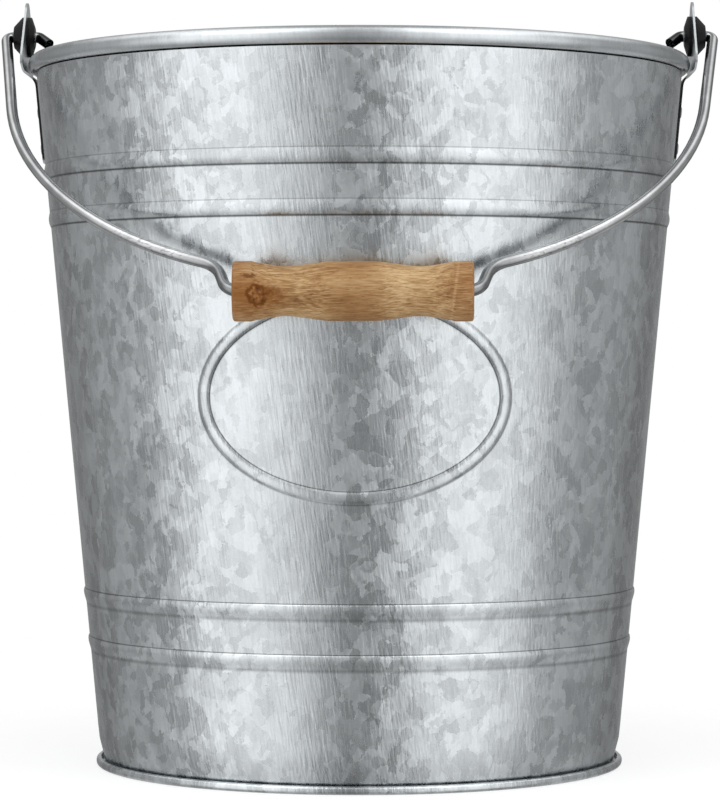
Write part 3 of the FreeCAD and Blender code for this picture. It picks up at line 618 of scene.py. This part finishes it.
def steel_material(name, tones, roughnesses, shade_in=no_shade):
    """Plated steel wire and rivets: even tone with faint drawing marks and stains."""
    n = material_nodes(name)
    place = n.position()
    stains = n.noise(place, STEEL_STAIN_SCALE, detail=4.0, roughness=STEEL_STAIN_ROUGHNESS)["Fac"]
    marks = n.noise(place, MARK_SCALE, detail=2.0)["Fac"]
    tone = n.ramp(stains, list(zip(NOISE_RANGE, tones)))
    tone = n.blend(shade_in(n, place), tone, STEEL_DARK)
    roughness = n.spread(stains, *roughnesses, *NOISE_RANGE)
    normal = n.bump(marks, *MARK_BUMP)
    return n.finish(Base_Color=tone, Metallic=1.0, Roughness=roughness, Normal=normal)


RUBBER_TONES = [(0.35, (0.004, 0.004, 0.0045)), (0.75, (0.012, 0.012, 0.013))]
RUBBER_ROUGHNESS = (0.36, 0.55)
RUBBER_SPECULAR = 0.15
RUBBER_BUMP = (0.12, 0.0002)
RUBBER_GRAIN_SCALE = 2200.0
DUST_SCALE = 160.0


def rubber_material(name):
    """Black moulded bushing: satin, with a fine moulded grain and patchy dust."""
    n = material_nodes(name)
    place = n.position()
    grain = n.noise(place, RUBBER_GRAIN_SCALE)["Fac"]
    dust = n.noise(place, DUST_SCALE, detail=4.0)["Fac"]
    tone = n.ramp(dust, RUBBER_TONES)
    roughness = n.spread(dust, *RUBBER_ROUGHNESS, *NOISE_RANGE)
    return n.finish(
        Base_Color=tone,
        Roughness=roughness,
        Specular_IOR_Level=RUBBER_SPECULAR,
        Normal=n.bump(grain, *RUBBER_BUMP),
    )


# Grain of the wood: rings round a heart, fibres and mottled patches, with their shares
WOOD_TONES = [
    (0.0, (0.17, 0.075, 0.026)),
    (0.35, (0.34, 0.190, 0.080)),
    (0.6, (0.47, 0.300, 0.143)),
    (1.0, (0.64, 0.460, 0.265)),
]
WOOD_ROUGHNESS = (0.45, 0.65)
WOOD_SPECULAR = 0.15
HEART_PLACE = (0.0, -0.1150, 0.1900)
HEART_STRETCH = (0.05, 1.0, 1.0)
RING_RATE = 2900.0
RING_SHARE = (0.46, 0.56)
RING_BEND = (-0.0045, 0.0045)
RING_BEND_STRETCH = (14.0, 60.0, 60.0)
FIBRE_STRETCH = (190.0, 2100.0, 2100.0)
FIBRE_ROUGHNESS = 0.6
FIBRE_RANGE = (0.25, 0.75)
FIBRE_SHARE = (-0.44, 0.44)
FIBRE_BUMP = (0.35, 0.0003)
MOTTLE_STRETCH = (40.0, 95.0, 95.0)
MOTTLE_SHARE = (-0.32, 0.32)

# Brown band near the middle, browner ends, pores, and the worn step near the right end
BAND_PLACE = 0.001
BAND_REACH = (0.003, 0.014)
BAND_SHARE = 0.5
BAND_BROWN = (0.300, 0.150, 0.056, 1.0)
END_REACH = (0.031, 0.043)
END_SHARE = 0.6
END_BROWN = (0.285, 0.118, 0.040, 1.0)
PORE_STRETCH = (330.0, 2600.0, 2600.0)
PORE_RANGE = (0.62, 0.72)
PORE_SHARE = 0.7
END_PORES = 0.08
PORE_BROWN = (0.110, 0.042, 0.014, 1.0)
STEP_PLACE = 0.0351
STEP_HEIGHT = 0.1776
STEP_SLANT = 0.13
STEP_REACH = (0.0002, 0.0007)
STEP_SHARE = 0.7
WORN_EDGE = (0.560, 0.370, 0.190, 1.0)

# Spots in the wood: place, stretch along the grip, depth of colour, distances of its fade
KNOT_PLACE = (-0.0330, -0.1375, 0.1769)
KNOT_STRETCH = 0.95
KNOT_FADE = (0.00279, 0.00403)
KNOT_RADIUS = 0.0031
KNOT_EDGE = (0.0003, 0.0011)
KNOT_EDGE_SHARE = 0.9
STAIN_SPOT = (KNOT_PLACE, 0.6, 0.75, (0.003, 0.008))
STREAK_SPOT = ((-0.0285, -0.1375, 0.1777), 0.5, 0.85, (0.00126, 0.00273))
SCAR_SPOT = ((-0.0357, -0.1360, 0.1835), 0.3, 0.85, (0.00049, 0.00105))
SPOT_DEPTH_STRETCH = 0.35
SPOT_NOISE_SCALE = 560.0
SPOT_NOISE_ROUGHNESS = 0.65
SPOT_WANDER = 0.0034
KNOT_TONES = [(0.38, (0.100, 0.030, 0.006)), (0.62, (0.37, 0.165, 0.052))]
KNOT_BROWN = (0.125, 0.038, 0.003, 1.0)
STAIN_BROWN = (0.225, 0.076, 0.010, 1.0)


def wood_grain(n, place, fibres):
    """Faint growth rings, short fibres and mottled patches as one share from dark to light."""
    bend = n.noise(n.stretch(place, RING_BEND_STRETCH))["Fac"]
    from_heart = n.vector_math("SUBTRACT", place, HEART_PLACE)
    heart_gap = n.length(n.stretch(from_heart, HEART_STRETCH))
    ring_place = n.math("ADD", heart_gap, n.spread(bend, *RING_BEND))
    rings = n.math("SINE", n.math("MULTIPLY", ring_place, RING_RATE))
    mottle = n.noise(n.stretch(place, MOTTLE_STRETCH), detail=4.0)["Fac"]
    share = n.spread(rings, *RING_SHARE, -1.0, 1.0)
    share = n.math("ADD", share, n.spread(fibres, *FIBRE_SHARE, *FIBRE_RANGE))
    return n.math("ADD", share, n.spread(mottle, *MOTTLE_SHARE, *NOISE_RANGE))


def wood_wear(n, place, tone, fibres):
    """A tone of wood with the brown band and ends, the pores and the worn step on it."""
    split = n.split(place)
    along = split["X"]
    band = n.spread(n.gap(along, BAND_PLACE), BAND_SHARE, 0.0, *BAND_REACH)
    tone = n.blend(band, tone, BAND_BROWN)
    at_end = n.spread(n.math("ABSOLUTE", along), 0.0, END_SHARE, *END_REACH)
    tone = n.blend(at_end, tone, END_BROWN)
    pores = n.noise(n.stretch(place, PORE_STRETCH), detail=2.0)["Fac"]
    pores = n.math("ADD", pores, n.math("MULTIPLY", at_end, END_PORES))
    tone = n.blend(n.spread(pores, 0.0, PORE_SHARE, *PORE_RANGE), tone, PORE_BROWN)
    slant = n.math("MULTIPLY", n.math("SUBTRACT", split["Z"], STEP_HEIGHT), STEP_SLANT)
    step_gap = n.gap(n.math("SUBTRACT", along, STEP_PLACE), slant)
    on_step = n.spread(step_gap, 1.0, 0.0, *STEP_REACH)
    darker_by_grip = n.math("MULTIPLY", on_step, n.spread(fibres, 0.0, STEP_SHARE, *NOISE_RANGE))
    return n.blend(darker_by_grip, tone, WORN_EDGE)


def spot_gap(n, place, middle, stretch):
    """Distance from a spot in the wood, shortened along the grip."""
    offset = n.vector_math("SUBTRACT", place, middle)
    return n.length(n.stretch(offset, (stretch, SPOT_DEPTH_STRETCH, 1.0)))


def spot_share(n, place, middle, stretch, depth, fade):
    return n.spread(spot_gap(n, place, middle, stretch), depth, 0.0, *fade)


def wood_knot(n, place, tone):
    """A tone of wood with the knot near the left end, its stain, a streak and a scar on it."""
    uneven = n.noise(place, SPOT_NOISE_SCALE, detail=4.0, roughness=SPOT_NOISE_ROUGHNESS)
    wander = n.scaled(n.centred(uneven["Color"]), SPOT_WANDER)
    crooked = n.vector_math("ADD", place, wander)
    knot_tone = n.ramp(uneven["Fac"], KNOT_TONES)
    tone = n.blend(spot_share(n, crooked, *STAIN_SPOT), tone, STAIN_BROWN)
    knot_gap = spot_gap(n, crooked, KNOT_PLACE, KNOT_STRETCH)
    tone = n.blend(n.spread(knot_gap, 1.0, 0.0, *KNOT_FADE), tone, knot_tone)
    on_edge = n.spread(n.gap(knot_gap, KNOT_RADIUS), KNOT_EDGE_SHARE, 0.0, *KNOT_EDGE)
    tone = n.blend(on_edge, tone, KNOT_BROWN)
    streak_tone = n.blend(0.5, knot_tone, KNOT_BROWN)
    tone = n.blend(spot_share(n, crooked, *STREAK_SPOT), tone, streak_tone)
    return n.blend(spot_share(n, crooked, *SCAR_SPOT), tone, KNOT_BROWN)


def wood_material(name):
    """Turned wood: browner ends and middle, dark pores, and a knot near the left end."""
    n = material_nodes(name)
    place = n.position()
    fibres = n.noise(n.stretch(place, FIBRE_STRETCH), roughness=FIBRE_ROUGHNESS)["Fac"]
    tone = n.ramp(wood_grain(n, place, fibres), WOOD_TONES)
    tone = wood_wear(n, place, tone, fibres)
    tone = wood_knot(n, place, tone)
    return n.finish(
        Base_Color=tone,
        Roughness=n.spread(fibres, *WOOD_ROUGHNESS),
        Specular_IOR_Level=WOOD_SPECULAR,
        Normal=n.bump(fibres, *FIBRE_BUMP),
    )


# Pieces

sheet = galvanised_material("galvanised_sheet_look", crease_shade)
plate = galvanised_material("galvanised_plate_look", strap_shade)
wire = steel_material("steel_wire_look", WIRE_TONES, WIRE_ROUGHNESS, wire_shade_and_scratches)
rivet = steel_material("rivet_steel_look", RIVET_TONES, RIVET_ROUGHNESS)
pan = galvanised_material("galvanised_pan_look", no_shade, CALM_TILT)
rubber = rubber_material("black_bushing_look")
wood = wood_material("turned_wood_look")

for piece, look, node_name in ((build_wall(), sheet, "can_wall"), (build_pan(), pan, "base_pan")):
    piece.data.materials.append(look)
    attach(piece, "can")
    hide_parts(node_name)

NODE_LOOKS = {
    "rim_wire": wire,
    "left_ear": plate,
    "right_ear": plate,
    "left_ear_rivets": rivet,
    "right_ear_rivets": rivet,
    "left_bushing": rubber,
    "right_bushing": rubber,
    "bail_wire": wire,
    "wood_grip": wood,
}
for node_name, look in NODE_LOOKS.items():
    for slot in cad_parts[node_name].material_slots:
        slot.material = look

# Stage

FLOOR_RADIUS = 1.6
FLOOR_SEGMENTS = 96
FLOOR_FADE = (0.16, 0.60)
FLOOR_TONE = 0.86
FLOOR_SHADED = 0.38
FLOOR_GLOW = 0.64
FLOOR_ROUGHNESS = 0.9
SPECK_SCALE = 40.0
SPECK_SHADE = (-0.01, 0.01)
WHITE = (1.0, 1.0, 1.0, 1.0)


def floor_material(name):
    """White with a faint shadow for the camera, fading out into the backdrop."""
    n = material_nodes(name)
    place = n.position()
    seen = n.add("ShaderNodeLightPath").outputs["Is Camera Ray"]
    speck = n.spread(n.noise(place, SPECK_SCALE)["Fac"], *SPECK_SHADE)
    pale = n.math("ADD", speck, n.spread(seen, FLOOR_TONE, FLOOR_SHADED))
    return n.finish(
        Base_Color=n.colour(pale, pale, pale),
        Roughness=FLOOR_ROUGHNESS,
        Emission_Color=WHITE,
        Emission_Strength=n.math("MULTIPLY", seen, FLOOR_GLOW),
        Alpha=n.spread(n.length(place), 1.0, 0.0, *FLOOR_FADE),
    )


def build_floor():
    """Pale round floor under the can, left out of its reflections."""
    mesh = bmesh.new()
    bmesh.ops.create_circle(mesh, cap_ends=True, radius=FLOOR_RADIUS, segments=FLOOR_SEGMENTS)
    floor = object_from(mesh, "floor")
    floor.data.materials.append(floor_material("floor_look"))
    floor.visible_glossy = False


build_floor()

# Light panels round the can, in degrees: azimuth, half width at full level, half width
# where it ends, level
ROOM_PANELS = [
    (-48, 8, 47, 1.20),
    (46, 8, 48, 1.14),
    (-103, 8, 36, 0.14),
    (105, 8, 36, 0.14),
    (-143, 4, 22, -0.08),
    (143, 4, 22, -0.10),
    (-180, 4, 20, 0.14),
    (180, 4, 20, 0.14),
]
ROOM_BASE = 0.32
ROOM_FILL = 0.75

# How the room's level changes from straight down (0) to straight up (1)
ROOM_HEIGHTS = [(0.10, 0.48), (0.34, 0.88), (0.46, 1.06), (0.70, 1.12)]

# Pale floor behind the can: azimuths and heights between which it comes in, level
BEHIND_AZIMUTHS = (math.radians(80), math.radians(125))
BEHIND_HEIGHTS = (-0.30, -0.45)
BEHIND_LEVEL = 0.42

# Two strips overhead, left and right: heights at which they start and are full, their
# distance from the middle, half widths at full level and where they end, level
STRIP_HEIGHTS = (0.45, 0.80)
STRIP_MIDDLE = 0.50
STRIP_REACH = (0.10, 0.42)
STRIP_LEVEL = 1.25


def room_level(n):
    """Level of the room that the metal mirrors, by direction."""
    split = n.split(n.add("ShaderNodeTexCoord").outputs["Generated"])
    azimuth = n.math("ARCTAN2", split["X"], n.math("MULTIPLY", split["Y"], -1.0))
    level = ROOM_BASE
    for middle, flat, end, strength in ROOM_PANELS:
        off_middle = n.gap(azimuth, math.radians(middle))
        reach = (math.radians(flat), math.radians(end))
        panel = n.spread(off_middle, strength, 0.0, *reach, kind="SMOOTHSTEP")
        level = n.math("ADD", level, panel)
    stops = [(place, (tone, tone, tone)) for place, tone in ROOM_HEIGHTS]
    by_height = n.ramp(n.spread(split["Z"], 0.0, 1.0, -1.0, 1.0), stops)
    level = n.math("MULTIPLY", level, by_height)
    off_strip = n.gap(n.math("ABSOLUTE", split["X"]), STRIP_MIDDLE)
    overhead = n.spread(split["Z"], 0.0, 1.0, *STRIP_HEIGHTS)
    strip = n.math("MULTIPLY", n.spread(off_strip, STRIP_LEVEL, 0.0, *STRIP_REACH), overhead)
    level = n.math("ADD", level, strip)
    turned = n.spread(n.math("ABSOLUTE", azimuth), 0.0, BEHIND_LEVEL, *BEHIND_AZIMUTHS)
    behind = n.math("MULTIPLY", turned, n.spread(split["Z"], 0.0, 1.0, *BEHIND_HEIGHTS))
    return n.math("ADD", level, behind)


def light_world():
    """White behind the can for the camera; for reflections a grey room with bright panels."""
    world = bpy.data.worlds.new("studio")
    bpy.context.scene.world = world
    n = Nodes(world)
    path = n.add("ShaderNodeLightPath").outputs
    strength = n.spread(path["Is Glossy Ray"], ROOM_FILL, room_level(n))
    strength = n.spread(path["Is Camera Ray"], strength, 1.0)
    back = n.tree.nodes["Background"]
    back.inputs["Color"].default_value = WHITE
    n.feed(back.inputs["Strength"], strength)


# Lamps, all aimed at the can: name, place, size, watts
CAN_MIDDLE = (0.0, 0.0, 0.15)
LAMPS = [
    ("left_softbox", (-1.15, -1.05, 0.55), (0.5, 1.3), 4.5),
    ("right_softbox", (1.2, -1.0, 0.55), (0.5, 1.3), 4.0),
    ("top_softbox", (0.0, -0.5, 1.6), (1.2, 0.8), 6.0),
]


def add_lamp(name, place, size, watts):
    """Soft rectangular lamp that only lights, unseen by the camera and in reflections."""
    lamp = bpy.data.lights.new(name, "AREA")
    lamp.shape = "RECTANGLE"
    lamp.size, lamp.size_y = size
    lamp.energy = watts
    stand = bpy.data.objects.new(name, lamp)
    stand.location = place
    aim = Vector(CAN_MIDDLE) - Vector(place)
    stand.rotation_euler = aim.to_track_quat("-Z", "Y").to_euler()
    stand.visible_camera = False
    stand.visible_glossy = False
    bpy.context.collection.objects.link(stand)


light_world()
for lamp_facts in LAMPS:
    add_lamp(*lamp_facts)

# Camera: its place round the can, its lens, and the photograph's framing in pixels

CAMERA_GAP = 1.2587
CAMERA_AZIMUTH = math.radians(0.92)
CAMERA_HEIGHT = 0.1523
LENS = 146.8
SENSOR_WIDTH = 36.0
HORIZON_ABOVE_MIDDLE = 33.5
AXIS_LEFT_OF_MIDDLE = 0.8
IMAGE_HEIGHT = 800

view = bpy.data.cameras.new("photo_camera")
view.lens = LENS
view.sensor_width = SENSOR_WIDTH
view.shift_x = AXIS_LEFT_OF_MIDDLE / IMAGE_HEIGHT
view.shift_y = -HORIZON_ABOVE_MIDDLE / IMAGE_HEIGHT
camera = bpy.data.objects.new("photo_camera", view)
camera.location = round_point(CAMERA_GAP, CAMERA_AZIMUTH, CAMERA_HEIGHT)
camera.rotation_euler = (math.pi / 2, 0.0, CAMERA_AZIMUTH)
bpy.context.collection.objects.link(camera)
bpy.context.scene.camera = camera
bpy.context.scene.view_settings.view_transform = "Standard"
